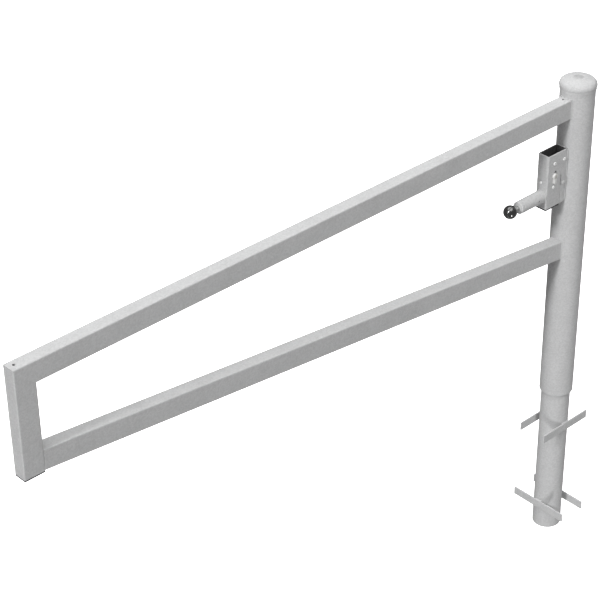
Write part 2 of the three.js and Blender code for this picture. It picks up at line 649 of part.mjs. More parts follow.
/** The ball knob with its flat and blind hole, and the threaded insert in it. */
function knob() {
  const insertR = 7.5;
  const holeR = insertR + GAP;
  const depth = 22;
  const profile = [[0, KNOB_U + KNOB_R]];
  const flatAngle = Math.acos((KNOB_FLAT_U - KNOB_U) / KNOB_R);
  const steps = 14;
  for (let i = 1; i <= steps; i += 1) {
    const a = (i / steps) * flatAngle;
    profile.push([KNOB_R * Math.sin(a), KNOB_U + KNOB_R * Math.cos(a)]);
  }
  profile.push([holeR, KNOB_FLAT_U], [holeR, KNOB_FLAT_U + depth], [0, KNOB_FLAT_U + depth]);
  const insert = ring(ROD_R + GAP, insertR, KNOB_FLAT_U, KNOB_FLAT_U + depth - GAP, 32);
  return [
    piece('ball_knob', turned(profile.reverse(), 36), glossBlack()),
    piece('knob_insert', insert, brass()),
  ];
}

/** A helix about Z, as a curve for an extrusion. */
class Helix extends THREE.Curve {
  constructor(radius, turns, low, high) {
    super();
    Object.assign(this, { radius, turns, low, high });
  }

  getPoint(t, target = new THREE.Vector3()) {
    const a = t * this.turns * 2 * Math.PI;
    const z = THREE.MathUtils.lerp(this.low, this.high, t);
    return target.set(this.radius * Math.cos(a), this.radius * Math.sin(a), z);
  }
}

/** The compression spring between the seat and the end cap. */
function plungerSpring() {
  const wireR = 1.25;
  const turns = 8;
  const coilR = 12;
  const low = SHOULDER_U + 2 * GAP + SPRING_SEAT_THICKNESS + 2 * wireR;
  const high = HOUSING_END_U - END_CAP_STUB - 2 * wireR;
  const wire = new THREE.Shape().absarc(0, 0, wireR, 0, 2 * Math.PI, false);
  const path = new Helix(coilR, turns, low, high);
  const coil = new THREE.ExtrudeGeometry(wire, { steps: turns * 14, curveSegments: 4, extrudePath: path });
  return piece('plunger_spring', coil, springSteel());
}

/** Everything on the plunger's line, turned so that its +Z runs along the arm. */
function plungerLine() {
  const group = new THREE.Group();
  group.position.set(0, 0, PLUNGER_Z);
  group.rotation.y = -Math.PI / 2;
  group.add(...plungerHousing(), plungerBolt(), springSeat(), ...knob(), plungerSpring());
  return group;
}

// ---------------------------------------------------------------- the whole

const groundPost = new THREE.Group();
groundPost.add(groundTube(), ...anchorBars(), ...postHead());

const gate = new THREE.Group();
gate.add(sleeve(), ...sleeveBearings(), cap());
gate.add(upperRail(), lowerRail(), endStile(), stilePlug());
gate.add(...lockBox(), ...lockCase(), ...caseScrews(), ...cylinderFixed(), ...cylinderTurning(), lockBolt());
gate.add(plungerLine());

const barrier = new THREE.Group();
barrier.add(groundPost, gate);

export default barrier;
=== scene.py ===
import math

import bmesh
import bpy
import numpy as np
from mathutils import Matrix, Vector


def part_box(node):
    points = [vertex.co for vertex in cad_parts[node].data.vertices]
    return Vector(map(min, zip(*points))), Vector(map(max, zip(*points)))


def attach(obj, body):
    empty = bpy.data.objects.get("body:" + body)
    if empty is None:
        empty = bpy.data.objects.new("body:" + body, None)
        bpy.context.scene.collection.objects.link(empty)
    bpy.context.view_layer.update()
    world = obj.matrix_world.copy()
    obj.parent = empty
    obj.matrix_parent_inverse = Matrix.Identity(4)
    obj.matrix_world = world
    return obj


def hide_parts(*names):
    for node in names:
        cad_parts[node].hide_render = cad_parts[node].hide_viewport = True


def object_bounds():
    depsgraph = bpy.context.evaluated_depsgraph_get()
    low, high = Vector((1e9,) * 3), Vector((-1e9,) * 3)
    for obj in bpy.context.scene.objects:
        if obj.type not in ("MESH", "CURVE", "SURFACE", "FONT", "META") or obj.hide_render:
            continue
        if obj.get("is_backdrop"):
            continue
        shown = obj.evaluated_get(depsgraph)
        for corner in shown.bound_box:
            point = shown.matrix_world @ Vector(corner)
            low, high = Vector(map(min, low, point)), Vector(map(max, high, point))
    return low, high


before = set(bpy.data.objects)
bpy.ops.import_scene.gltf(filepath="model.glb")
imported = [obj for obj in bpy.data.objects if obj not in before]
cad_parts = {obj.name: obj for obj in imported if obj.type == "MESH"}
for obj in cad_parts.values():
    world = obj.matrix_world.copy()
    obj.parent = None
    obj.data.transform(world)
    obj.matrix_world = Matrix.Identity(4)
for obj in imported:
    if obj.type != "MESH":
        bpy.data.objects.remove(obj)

cad_low, cad_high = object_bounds()

# ---------------------------------------------------------------- ground tube
# A steel tube of 88.9 x 3.2 mm, sawn square, with its anchors welded on before the whole is dipped in
# molten zinc. It stands 0.5 m deep in concrete. Round holes and slots at the gate's three index
# positions let the plunger and the deadbolt in. GAP is the air between fitted pieces, and BAND the
# distance from a rim to the next row of points, which keeps the wear near the rim.

MM = 0.001
GAP = 0.3
BAND = 4.0
SHARP_TURN = math.radians(35)


def extent(node):
    """The lowest and highest corner of a CAD node, in millimetres."""
    return [np.array(corner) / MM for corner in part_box(node)]


def mark_wear(mesh):
    """Stores 'wear' on the points: 0 on flats, 1 where the skin turns sharply. The unit normals of an
    edge's two faces sum to 2 cos(half the turn), and a point takes the sharpest of its edges."""
    faces, corners, edges = len(mesh.polygons), len(mesh.loops), len(mesh.edges)
    normals = np.empty(faces * 3)
    mesh.polygons.foreach_get("normal", normals)
    totals = np.empty(faces, int)
    mesh.polygons.foreach_get("loop_total", totals)
    corner_edges = np.empty(corners, int)
    mesh.loops.foreach_get("edge_index", corner_edges)
    ends = np.empty(edges * 2, int)
    mesh.edges.foreach_get("vertices", ends)
    sums = np.zeros((edges, 3))
    np.add.at(sums, corner_edges, np.repeat(normals.reshape(-1, 3), totals, axis=0))
    turn = 1 - np.linalg.norm(sums, axis=1) / 2
    wear = np.zeros(len(mesh.vertices))
    np.maximum.at(wear, ends, np.repeat(turn, 2))
    full_wear = 0.015
    layer = mesh.attributes.new("wear", "FLOAT", "POINT")
    layer.data.foreach_set("value", np.clip(wear / full_wear, 0, 1).astype(np.float32))


def grid_surface(name, grid, close_rows=False):
    """A closed skin through grid[row, column], in millimetres. Each row is a closed ring of points, and
    quads join it to the next. close_rows joins the last row to the first, as round a tube's wall.
    A row shrunk to a point closes an end, because points that coincide are welded."""
    rows, columns, _ = grid.shape
    index = np.arange(rows * columns).reshape(rows, columns)
    here = index if close_rows else index[:-1]
    above = np.roll(index, -1, axis=0)[: len(here)]
    quads = np.stack([here, np.roll(here, -1, axis=1), np.roll(above, -1, axis=1), above], axis=-1)
    mesh = bpy.data.meshes.new(name)
    mesh.from_pydata((grid * MM).reshape(-1, 3), [], quads.reshape(-1, 4))
    skin = bmesh.new()
    skin.from_mesh(mesh)
    bmesh.ops.remove_doubles(skin, verts=skin.verts, dist=1e-7)
    bmesh.ops.recalc_face_normals(skin, faces=skin.faces)
    skin.to_mesh(mesh)
    skin.free()
    mark_wear(mesh)
    mesh.shade_smooth()
    mesh.set_sharp_from_angle(angle=SHARP_TURN)
    piece = bpy.data.objects.new(name, mesh)
    bpy.context.scene.collection.objects.link(piece)
    return piece


def along(axis, across, height):
    """Points with two coordinates across an axis, in x y z order, and one along it."""
    first, second = across[..., 0], across[..., 1]
    height = np.broadcast_to(height, first.shape)
    order = {"x": (height, first, second), "y": (first, height, second), "z": (first, second, height)}
    return np.stack(order[axis], axis=-1)


def turned(name, profile, axis="z", centre=(0, 0), segments=128, close_rows=False):
    """A surface of revolution: radius and height along the profile give the rows, and the point at
    angle a lies at centre + radius (cos a, sin a) across the axis."""
    radius, height = np.array(profile, float).T
    angle = np.arange(segments) * 2 * np.pi / segments
    ring = np.stack([np.cos(angle), np.sin(angle)], axis=-1)
    across = np.array(centre) + radius[:, None, None] * ring
    return grid_surface(name, along(axis, across, height[:, None]), close_rows)


def prism(name, outline, low, high, axis):
    """The outline carried straight along an axis from low to high, each end closed to its middle."""
    middle = np.broadcast_to(outline.mean(axis=0), outline.shape)
    across = np.stack([middle, outline, outline, middle])
    return grid_surface(name, along(axis, across, np.array([[low], [low], [high], [high]])))


def circle(radius, centre=(0, 0), segments=48):
    """Points round a circle."""
    angle = np.arange(segments) * 2 * np.pi / segments
    return np.array(centre) + radius * np.stack([np.cos(angle), np.sin(angle)], axis=-1)


def rectangle(low, high):
    """The four corners of a rectangle."""
    return np.array([[low[0], low[1]], [high[0], low[1]], [high[0], high[1]], [low[0], high[1]]], float)


def pierce(piece, *cutters):
    """The piece less its cutters, which are then removed."""
    for cutter in cutters:
        cutting = piece.modifiers.new("cut", "BOOLEAN")
        cutting.solver = "EXACT"
        cutting.object = cutter
    evaluated = piece.evaluated_get(bpy.context.evaluated_depsgraph_get())
    shaped = bpy.data.meshes.new_from_object(evaluated)
    piece.modifiers.clear()
    piece.data = shaped
    for cutter in cutters:
        bpy.data.objects.remove(cutter)
    shaped.set_sharp_from_angle(angle=SHARP_TURN)


def tube_wall(inner, outer, low, high, ease=0.5):
    """The profile of a tube's wall: both rims eased on the outside and broken on the inside."""
    mid = ease * 0.3
    outside = [(outer - ease, low), (outer - mid, low + mid), (outer, low + ease)]
    outside += [(outer, low + BAND), (outer, high - BAND), (outer, high - ease)]
    outside += [(outer - mid, high - mid), (outer - ease, high)]
    inside = [(inner + mid, high), (inner, high - mid), (inner, low + mid), (inner + mid, low)]
    return outside + inside


def start_material(name, metallic=0.0, roughness=0.5, specular=0.5):
    """A node material: returns it, node(kind, inputs, **settings), which adds a node and sets or links
    its inputs, and feed(socket, output), which links an output to the shader."""
    material = bpy.data.materials.new(name)
    material.use_nodes = True
    tree = material.node_tree
    shader = tree.nodes["Principled BSDF"]
    shader.inputs["Metallic"].default_value = metallic
    shader.inputs["Roughness"].default_value = roughness
    shader.inputs["Specular IOR Level"].default_value = specular

    def node(kind, inputs=None, **settings):
        made = tree.nodes.new("ShaderNode" + kind)
        for setting, value in settings.items():
            setattr(made, setting, value)
        for socket, value in (inputs or {}).items():
            if isinstance(value, bpy.types.NodeSocket):
                tree.links.new(value, made.inputs[socket])
            else:
                made.inputs[socket].default_value = value
        return made

    def feed(socket, output):
        tree.links.new(output, shader.inputs[socket])

    return material, node, feed


def scaled_add(node, value, factor, base):
    """value * factor + base, each a number or a node's output."""
    return node("Math", {0: value, 1: factor, 2: base}, operation="MULTIPLY_ADD").outputs[0]


def galvanised(name, colour, spangle_size=4.0, centre_dark_radius=0.0):
    """Hot-dip zinc, weathered matt: crystals a few millimetres wide, each its own shade, broad clouds
    where the zinc cooled unevenly, now and then a bright fleck, and edges rubbed a little brighter.
    Within the given radius of the upright axis it is darker, in patches."""
    material, node, feed = start_material(name, specular=0.12)
    place = node("TexCoord").outputs["Object"]
    crystals = node("TexVoronoi", {"Vector": place, "Scale": 1 / (spangle_size * MM), "Randomness": 1.0})
    shade = node("SeparateColor", {"Color": crystals.outputs["Color"]}).outputs[0]
    clouds = node("TexNoise", {"Vector": place, "Scale": 14.0, "Detail": 5.0, "Roughness": 0.6}).outputs[0]
    grain = node("TexNoise", {"Vector": place, "Scale": 420.0, "Detail": 3.0, "Roughness": 0.7}).outputs[0]
    spots = node("TexVoronoi", {"Vector": place, "Scale": 21.0, "Randomness": 1.0}).outputs["Distance"]
    bright = node(
        "MapRange", {"Value": spots, "From Min": 0.04, "From Max": 0.15, "To Min": 1.0, "To Max": 0.0}
    ).outputs[0]
    wear = node("Attribute", attribute_name="wear").outputs["Fac"]
    level = scaled_add(node, shade, 0.13, 0.79)
    level = scaled_add(node, clouds, 0.16, level)
    level = scaled_add(node, grain, 0.14, level)
    level = scaled_add(node, bright, 0.09, level)
    level = scaled_add(node, wear, 0.03, level)
    # Darker in patches near the upright axis.
    if centre_dark_radius:
        flat = node("VectorMath", {0: place, 1: (1, 1, 0)}, operation="MULTIPLY").outputs[0]
        reach = node("VectorMath", {0: flat}, operation="LENGTH").outputs["Value"]
        reach = scaled_add(node, grain, 0.5 * centre_dark_radius, reach)
        centre_dark = node("MapRange", {"Value": reach, "From Min": centre_dark_radius, "From Max": 1.5 * centre_dark_radius,
                                "To Min": 1.0, "To Max": 0.0}).outputs[0]
        patches = node("TexNoise", {"Vector": place, "Scale": 130.0, "Detail": 4.0}).outputs[0]
        centre_dark = node("Math", {0: centre_dark, 1: patches}, operation="MULTIPLY").outputs[0]
        level = scaled_add(node, centre_dark, -0.42, level)
    tint = node("VectorMath", {0: colour, "Scale": level}, operation="SCALE")
    feed("Base Color", tint.outputs[0])
    rough = scaled_add(node, clouds, 0.2, 0.68)
    feed("Roughness", scaled_add(node, wear, -0.1, rough))
    relief = scaled_add(node, shade, 0.35, grain)
    bump = node("Bump", {"Height": relief, "Strength": 0.2, "Distance": 0.0004})
    feed("Normal", bump.outputs[0])
    return material


def fit(piece, material, body, slot, *nodes):
    """Gives a piece its finish and its body, and hides the CAD nodes that it stands for."""
    piece.data.materials.append(material)
    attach(piece, body)
    if nodes:
        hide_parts(*nodes)
    return piece


ZINC_GREY = (0.553, 0.555, 0.557)
ZINC = galvanised("zinc_dipped", ZINC_GREY)

tube_low, tube_high = extent("ground_tube")
GROUND_R = tube_high[0]
GROUND_WALL = 3.2
post_tube = turned(
    "ground_tube_detail",
    tube_wall(GROUND_R - GROUND_WALL, GROUND_R, tube_low[2], tube_high[2]),
    close_rows=True,
)

PLUNGER_Z = sum(extent("plunger_bolt")[i][2] for i in (0, 1)) / 2
HOLE_R = 11.0
bolt_low, bolt_high = extent("lock_bolt")
BOLT_Y = 3.0
SLOT_HALF_Y = 6.0
SLOT_Z = (bolt_low[2] - 2, bolt_high[2] + 2)
NEAR_SIDE = (-60, -30)
FAR_SIDE = (30, 60)
INDEX_SIDES = (("minus_x", NEAR_SIDE, "x", BOLT_Y), ("minus_y", NEAR_SIDE, "y", -BOLT_Y),
               ("plus_y", FAR_SIDE, "y", BOLT_Y))


def slot_outline(middle, half_width, span):
    """A rectangle half_width to each side of the middle, over a span of height."""
    return rectangle((middle - half_width, span[0]), (middle + half_width, span[1]))


holes = [prism(f"hole_{word}", circle(HOLE_R, (0, PLUNGER_Z)), *side, axis)
         for word, side, axis, _ in INDEX_SIDES]
slots = [prism(f"slot_{word}", slot_outline(middle, SLOT_HALF_Y, SLOT_Z), *side, axis)
         for word, side, axis, middle in INDEX_SIDES]
pierce(post_tube, *holes, *slots)
fit(post_tube, ZINC, "ground_post", "galvanised_steel", "ground_tube")

# ---------------------------------------------------------------- anchors
# Four lengths of 28 x 4 mm flat bar, cropped on a shear and set on edge against the tube, two along the
# arm and two across it. They lock the tube in the concrete. A short weld runs along the top and the
# bottom of each where it touches the tube.


def round_rectangle(width, height, corner, arc_steps=6, flat_steps=12):
    """Points round a rectangle with round corners, centred: each corner is an arc of arc_steps
    parts, and each flat side is divided evenly in flat_steps, so that wear stays near the edge."""
    half = np.array([width, height]) / 2 - corner
    arc = np.linspace(0, np.pi / 2, arc_steps + 1)
    sides = []
    for quarter, (sx, sy) in enumerate([(1, 1), (-1, 1), (-1, -1), (1, -1)]):
        angle = arc + quarter * np.pi / 2
        bend = half * (sx, sy) + corner * np.stack([np.cos(angle), np.sin(angle)], axis=-1)
        turn = (quarter + 1) * np.pi / 2
        next_sign = [(-1, 1), (-1, -1), (1, -1), (1, 1)][quarter]
        goal = half * next_sign + corner * np.array([np.cos(turn), np.sin(turn)])
        share = np.linspace(0, 1, flat_steps + 1)[1:-1, None]
        sides += [bend, bend[-1] * (1 - share) + goal * share]
    return np.concatenate(sides)


def eased_bar(name, width, height, corner, centre, low, high, axis, ease=0.6):
    """A bar of round-cornered section along an axis: rows from the middle of one end over an eased
    edge to the middle of the other."""
    full = round_rectangle(width, height, corner, arc_steps=3, flat_steps=6)
    less = round_rectangle(width - 2 * ease, height - 2 * ease, max(corner - ease, 0.1), 3, 6)
    across = np.array(centre) + np.stack([less * 0, less, full, full, full, full, less, less * 0])
    stations = np.array([low, low, low + ease, low + BAND, high - BAND, high - ease, high, high])
    return grid_surface(name, along(axis, across, stations[:, None]))


def weld_bead(name, path, radius, closed=False, pitch=2.6):
    """A weld: a small circle swept along a path, in millimetres. Its radius swells and shrinks a little
    once a pitch, as the puddle froze, and falls to nothing at an open bead's ends."""
    sides, ripple = 10, 0.06
    path = np.array(path, float)
    ahead = np.roll(path, -1, axis=0) - np.roll(path, 1, axis=0)
    if not closed:
        ahead[0], ahead[-1] = path[1] - path[0], path[-1] - path[-2]
    ahead /= np.linalg.norm(ahead, axis=1)[:, None]
    guide = np.array([0.31, 0.23, 0.92]) if abs(ahead[:, 2]).max() < 0.9 else np.array([0.8, 0.6, 0.0])
    side = np.cross(ahead, guide)
    side /= np.linalg.norm(side, axis=1)[:, None]
    lift = np.cross(side, ahead)
    step = np.linalg.norm(np.diff(path, axis=0), axis=1)
    run = np.concatenate([[0], np.cumsum(step)])
    swell = radius * (1 + ripple * np.sin(run / pitch * 2 * np.pi))
    if not closed:
        to_end = np.minimum(run, run[-1] - run) / radius
        swell = swell * np.sqrt(1 - (1 - np.clip(to_end, 0, 1)) ** 2)
    angle = np.arange(sides) * 2 * np.pi / sides
    round_path = np.cos(angle)[:, None] * side[:, None] + np.sin(angle)[:, None] * lift[:, None]
    return grid_surface(name, path[:, None] + swell[:, None, None] * round_path, close_rows=closed)


def straight(start, end, step=0.65):
    """Points along a straight line, step millimetres apart."""
    start, end = np.array(start, float), np.array(end, float)
    count = int(np.linalg.norm(end - start) / step) + 1
    share = np.linspace(0, 1, count)[:, None]
    return start * (1 - share) + end * share


ANCHOR_WELD_HALF = 13.0
ANCHOR_WELD_R = 2.0
ANCHOR_CORNER = 0.8
for number in (1, 2, 3, 4):
    node = f"anchor_bar_{number}"
    low, high = extent(node)
    axis = "x" if high[0] - low[0] > high[1] - low[1] else "y"
    run, cross = (0, 1) if axis == "x" else (1, 0)
    centre = [(low[cross] + high[cross]) / 2, (low[2] + high[2]) / 2]
    bar = eased_bar(f"{node}_detail", high[cross] - low[cross], high[2] - low[2], ANCHOR_CORNER,
                    centre, low[run], high[run], axis)
    fit(bar, ZINC, "ground_post", "galvanised_steel", node)
    touch = math.copysign(GROUND_R, centre[0])
    for word, z in (("under", low[2]), ("over", high[2])):
        ends = np.array([[-ANCHOR_WELD_HALF, touch, z], [ANCHOR_WELD_HALF, touch, z]])
        if axis == "y":
            ends = ends[:, [1, 0, 2]]
        bead = weld_bead(f"weld_anchor_{number}_{word}", straight(*ends), ANCHOR_WELD_R)
        fit(bead, ZINC, "ground_post", "galvanised_steel")

# ---------------------------------------------------------------- post head
# What carries the gate inside the sleeve: a steel plate welded on the tube, a plastic thrust washer on
# it, and the bolt and washer that keep the sleeve from being lifted off. These CAD pieces stay, and get
# plated steel and natural nylon.


def plated(name, colour, roughness=0.3, metallic=0.85):
    """Zinc-plated steel: bright and even, with fine scratches in every direction, a faint cloud from
    the passivation, and duller rubbed edges."""
    material, node, feed = start_material(name, metallic)
    place = node("TexCoord").outputs["Object"]
    clouds = node("TexNoise", {"Vector": place, "Scale": 60.0, "Detail": 4.0}).outputs[0]
    fine = node("TexNoise", {"Vector": place, "Scale": 900.0, "Detail": 2.0, "Distortion": 1.5}).outputs[0]
    wear = node("Attribute", attribute_name="wear").outputs["Fac"]
    level = scaled_add(node, clouds, 0.14, 0.9)
    level = scaled_add(node, fine, 0.1, level)
    level = scaled_add(node, wear, -0.08, level)
    feed("Base Color", node("VectorMath", {0: colour, "Scale": level}, operation="SCALE").outputs[0])
    feed("Roughness", scaled_add(node, fine, 0.16, roughness - 0.06))
    feed("Normal", node("Bump", {"Height": fine, "Strength": 0.08, "Distance": 0.0001}).outputs[0])
    return material


def moulded(name, colour, roughness, variation, grain=0.0001):
    """A moulded plastic: even colour that varies by a few per cent, with the fine eroded texture of
    the mould and a broad change of gloss."""
    material, node, feed = start_material(name)
    place = node("TexCoord").outputs["Object"]
    broad = node("TexNoise", {"Vector": place, "Scale": 45.0, "Detail": 3.0}).outputs[0]
    fine = node("TexNoise", {"Vector": place, "Scale": 1300.0, "Detail": 2.0}).outputs[0]
    level = scaled_add(node, broad, variation, 1 - variation / 2)
    feed("Base Color", node("VectorMath", {0: colour, "Scale": level}, operation="SCALE").outputs[0])
    feed("Roughness", scaled_add(node, broad, 0.18, roughness - 0.09))
    feed("Normal", node("Bump", {"Height": fine, "Strength": 0.3, "Distance": grain}).outputs[0])
    return material


def dress(material, *nodes):
    """Gives CAD nodes that stay a material of their own."""
    for node in nodes:
        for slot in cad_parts[node].material_slots:
            slot.material = material


PLATED = plated("zinc_plated", (0.72, 0.73, 0.72))
NYLON = moulded("natural_nylon", (0.66, 0.65, 0.6), 0.45, 0.08)
dress(ZINC, "post_top_plate", "bearing_disc")
dress(PLATED, "retaining_washer", "retaining_bolt")
dress(NYLON, "thrust_washer", "lower_bush", "upper_bush")

# ---------------------------------------------------------------- sleeve
# The turning tube of 101.6 x 3.6 mm, which slips over the ground tube on two plastic bushes and carries
# the arm. Its rims are filed, and the lock's two holes are under the lock box.

sleeve_low, sleeve_high = extent("sleeve")
SLEEVE_R = sleeve_high[0]
SLEEVE_WALL = 3.6
sleeve = turned(
    "sleeve_detail",
    tube_wall(SLEEVE_R - SLEEVE_WALL, SLEEVE_R, sleeve_low[2], sleeve_high[2], ease=0.8),
    segments=144,
    close_rows=True,
)
PASSAGE = slot_outline(BOLT_Y, 5, (bolt_low[2] - 1, bolt_high[2] + 1))
pierce(
    sleeve,
    prism("hole", circle(HOLE_R, (0, PLUNGER_Z)), *NEAR_SIDE, "x"),
    prism("slot", PASSAGE, *NEAR_SIDE, "x"),
)
fit(sleeve, ZINC, "gate", "galvanised_steel", "sleeve")

# ---------------------------------------------------------------- cap
# A pressed steel cap driven over the sleeve: straight skirt, a bead where the skirt stops, a large edge
# radius and a low dome. The press left a shallow ring and a small pip at the middle.

cap_low, cap_high = extent("cap")
CAP_Z = cap_low[2]
SKIRT_R = 52.6
BEAD_R = cap_high[0]
EDGE_R = 17.0
EDGE_Z = 12.0
DOME = cap_high[2] - CAP_Z - EDGE_Z - EDGE_R
round_edge = np.linspace(0, np.pi / 2, 15)
flat_share = np.linspace(1, 0, 57)[1:]
flat_r = (BEAD_R - EDGE_R) * flat_share
ring_groove = 1.1 * np.exp(-(((flat_r - 15) / 1.6) ** 2)) + 1.3 * np.exp(-((flat_r / 5) ** 2))
dome_z = EDGE_Z + EDGE_R + DOME * (1 - flat_share**2) - ring_groove
cap_profile = [(SKIRT_R - 0.5, 0), (SKIRT_R, 0.5), (SKIRT_R, 4), (SKIRT_R, 8.2), (SKIRT_R + 0.2, 8.9)]
cap_profile += [(BEAD_R - 0.3, 9.7), (BEAD_R, 10.3), (BEAD_R, EDGE_Z)]
cap_profile += list(zip(BEAD_R - EDGE_R + EDGE_R * np.cos(round_edge[1:]),
                        EDGE_Z + EDGE_R * np.sin(round_edge[1:])))
cap_profile += list(zip(flat_r, dome_z))
SEAT = sleeve_high[2] - CAP_Z + GAP
cap_profile += [(0, SEAT + 9), (30, SEAT + 7.5), (44, SEAT + 2), (46, SEAT)]
cap_profile += [(SLEEVE_R + GAP, SEAT), (SLEEVE_R + GAP, 0)]
cap_rows = np.array(cap_profile) + (0, CAP_Z)
cap = turned("cap_detail", cap_rows, segments=144, close_rows=True)
CAP_ZINC = galvanised("zinc_dipped_cap", ZINC_GREY, centre_dark_radius=0.014)
fit(cap, CAP_ZINC, "gate", "galvanised_steel", "cap")

# ---------------------------------------------------------------- upper rail
# The level rail of 60 x 40 x 2 mm rectangular tube. Its near end is coped to the sleeve, its far end is
# mitred to the end stile, and two small holes on top let air and zinc through in the bath.

RAIL = (40.0, 60.0)
RAIL_WALL = 2.0
RAIL_CORNER = 3.0
COPE_R = SLEEVE_R + GAP
RIM = 3.0


def rail_skin(name, axis_z, slope, far_u):
    """A rectangular tube that leaves the post's axis at height axis_z and rises by slope. A point y
    across and w up its section starts where the coping cylinder is met, x = -sqrt(C^2 - y^2), and
    ends at far_u(z at that end), both solved for the distance along the rail."""
    rise, level = math.sin(slope), math.cos(slope)
    outer = round_rectangle(*RAIL, RAIL_CORNER)
    inner = round_rectangle(RAIL[0] - 2 * RAIL_WALL, RAIL[1] - 2 * RAIL_WALL, RAIL_CORNER - RAIL_WALL)
    rows = []
    for section, inside in ((outer, False), (inner, True)):
        y, w = section.T
        near = (np.sqrt(COPE_R**2 - y**2) + w * rise) / level
        far = far_u(y, w)
        stations = [near, near + RIM, far - RIM, far]
        for t in reversed(stations) if inside else stations:
            rows.append(np.stack([w * rise - t * level, y, axis_z + w * level + t * rise], axis=-1))
    return grid_surface(name, np.stack(rows), close_rows=True)


ARM_END = -cad_low[0] / MM
upper_low, upper_high = extent("upper_rail")
UPPER_Z = (upper_low[2] + upper_high[2]) / 2
MITRE_GAP = GAP * math.sqrt(0.5)
corner_u = ARM_END - upper_high[2]


def mitre_end(y, w):
    """Distance to the mitre, 45 degrees through the free end's top corner."""
    return corner_u - MITRE_GAP + UPPER_Z + w


upper_rail = rail_skin("upper_rail_detail", UPPER_Z, 0.0, mitre_end)
VENT_R = 3.8
VENTS_U = (61.0, ARM_END - 17)
vents = [prism(f"vent_{i}", circle(VENT_R, (-u, 0), 24), upper_high[2] - 5, upper_high[2] + 5, "z")
         for i, u in enumerate(VENTS_U)]
pierce(upper_rail, *vents)
fit(upper_rail, ZINC, "gate", "galvanised_steel", "upper_rail")


def outline_path(section, place, step=0.65):
    """The section's outline with points about step millimetres apart, each put in space by place."""
    loop = np.concatenate([section, section[:1]])
    run = np.concatenate([[0], np.cumsum(np.linalg.norm(np.diff(loop, axis=0), axis=1))])
    at = np.linspace(0, run[-1], int(run[-1] / step))[:-1]
    return place(np.interp(at, run, loop[:, 0]), np.interp(at, run, loop[:, 1]))


def coped_path(axis_z, slope):
    """Where a rail's skin meets the sleeve."""
    rise, level = math.sin(slope), math.cos(slope)
    weld_r = SLEEVE_R + 0.9
    spread = 1.2

    def place(y, w):
        t = (np.sqrt(weld_r**2 - y**2) + w * rise) / level
        return np.stack([w * rise - t * level, y, axis_z + w * level + t * rise], axis=-1)

    return outline_path(round_rectangle(RAIL[0] + spread, RAIL[1] + spread, RAIL_CORNER), place)


RAIL_WELD_R = 1.2
fit(weld_bead("weld_upper_rail", coped_path(UPPER_Z, 0.0), RAIL_WELD_R, closed=True),
    ZINC, "gate", "galvanised_steel")

# ---------------------------------------------------------------- end stile
# The upright at the free end, of the same tube, mitred under the upper rail. The mitre is welded all
# round and ground flush, so only a fine change in the zinc shows. A flat plastic plug with a hollow stub
# is pushed into its foot.

stile_low, stile_high = extent("end_stile")
STILE_X = (stile_low[0] + stile_high[0]) / 2
outer = round_rectangle(RAIL[1], RAIL[0], RAIL_CORNER)
inner = round_rectangle(RAIL[1] - 2 * RAIL_WALL, RAIL[0] - 2 * RAIL_WALL, RAIL_CORNER - RAIL_WALL)
stile_rows = []
for section, inside in ((outer, False), (inner, True)):
    x = section[:, 0] + STILE_X
    foot = np.full_like(x, stile_low[2])
    head = -x - corner_u - MITRE_GAP
    stations = [foot, foot + RIM, head - RIM, head]
    for z in reversed(stations) if inside else stations:
        stile_rows.append(np.stack([x, section[:, 1], z], axis=-1))
stile = grid_surface("end_stile_detail", np.stack(stile_rows), close_rows=True)
fit(stile, ZINC, "gate", "galvanised_steel", "end_stile")


def mitre_place(x, y):
    """A point of the mitre's plane over x and y."""
    return np.stack([x + STILE_X, y, -(x + STILE_X) - corner_u], axis=-1)


mitre_path = outline_path(round_rectangle(RAIL[1] - 1.8, RAIL[0] - 1.8, RAIL_CORNER - 0.9), mitre_place)
fit(weld_bead("weld_mitre", mitre_path, 0.8, closed=True, pitch=1.8), ZINC, "gate", "galvanised_steel")


def tube_plug(name, length, width, corner, wall, centre_x, top, flange, stub=14.0, plug_wall=2.5):
    """A push-in plug drawn as one skin: from the middle of its flat underside, over the eased edge of
    the flange, up the outside of the stub, down its inside and over the floor of the hollow."""
    inset = 2 * (wall + GAP)
    ease = 0.7
    full = round_rectangle(length, width, corner)
    less = round_rectangle(length - 2 * ease, width - 2 * ease, corner - ease)
    out = round_rectangle(length - inset, width - inset, 1.5)
    hollow = round_rectangle(length - inset - 2 * plug_wall, width - inset - 2 * plug_wall, 0.5)
    sections = [full * 0, less, full, full, less, out, out, hollow, hollow, full * 0]
    low = top - flange
    heights = [low, low, low + ease, top - ease * 0.5, top, top, top + stub, top + stub, top, top]
    across = np.stack(sections) + (centre_x, 0)
    return grid_surface(name, along("z", across, np.array(heights)[:, None]))


BLACK = moulded("plug_plastic", (0.02, 0.02, 0.022), 0.55, 0.3)
FLANGE = 4.0
stile_plug_low = extent("stile_plug")[0]
stile_plug = tube_plug("stile_plug_detail", RAIL[1], RAIL[0], RAIL_CORNER, RAIL_WALL, STILE_X,
                       stile_plug_low[2] + FLANGE, FLANGE)
fit(stile_plug, BLACK, "gate", "plug_black", "stile_plug")

# ---------------------------------------------------------------- lower rail
# The sloping rail of the same tube, from the sleeve up to the foot of the end stile, welded all round
# at both ends. The weld at the stile is ground flush.

SLOPE = math.radians(6.5)
STILE_U = ARM_END - RAIL[1]
LOWER_Z = stile_low[2] + RAIL[1] / 2 / math.cos(SLOPE) - STILE_U * math.tan(SLOPE)


def stile_end(y, w):
    """Distance to the stile's near face."""
    return (STILE_U - GAP + w * math.sin(SLOPE)) / math.cos(SLOPE)


lower_rail = rail_skin("lower_rail_detail", LOWER_Z, SLOPE, stile_end)
fit(lower_rail, ZINC, "gate", "galvanised_steel", "lower_rail")
fit(weld_bead("weld_lower_rail", coped_path(LOWER_Z, SLOPE), RAIL_WELD_R, closed=True),
    ZINC, "gate", "galvanised_steel")


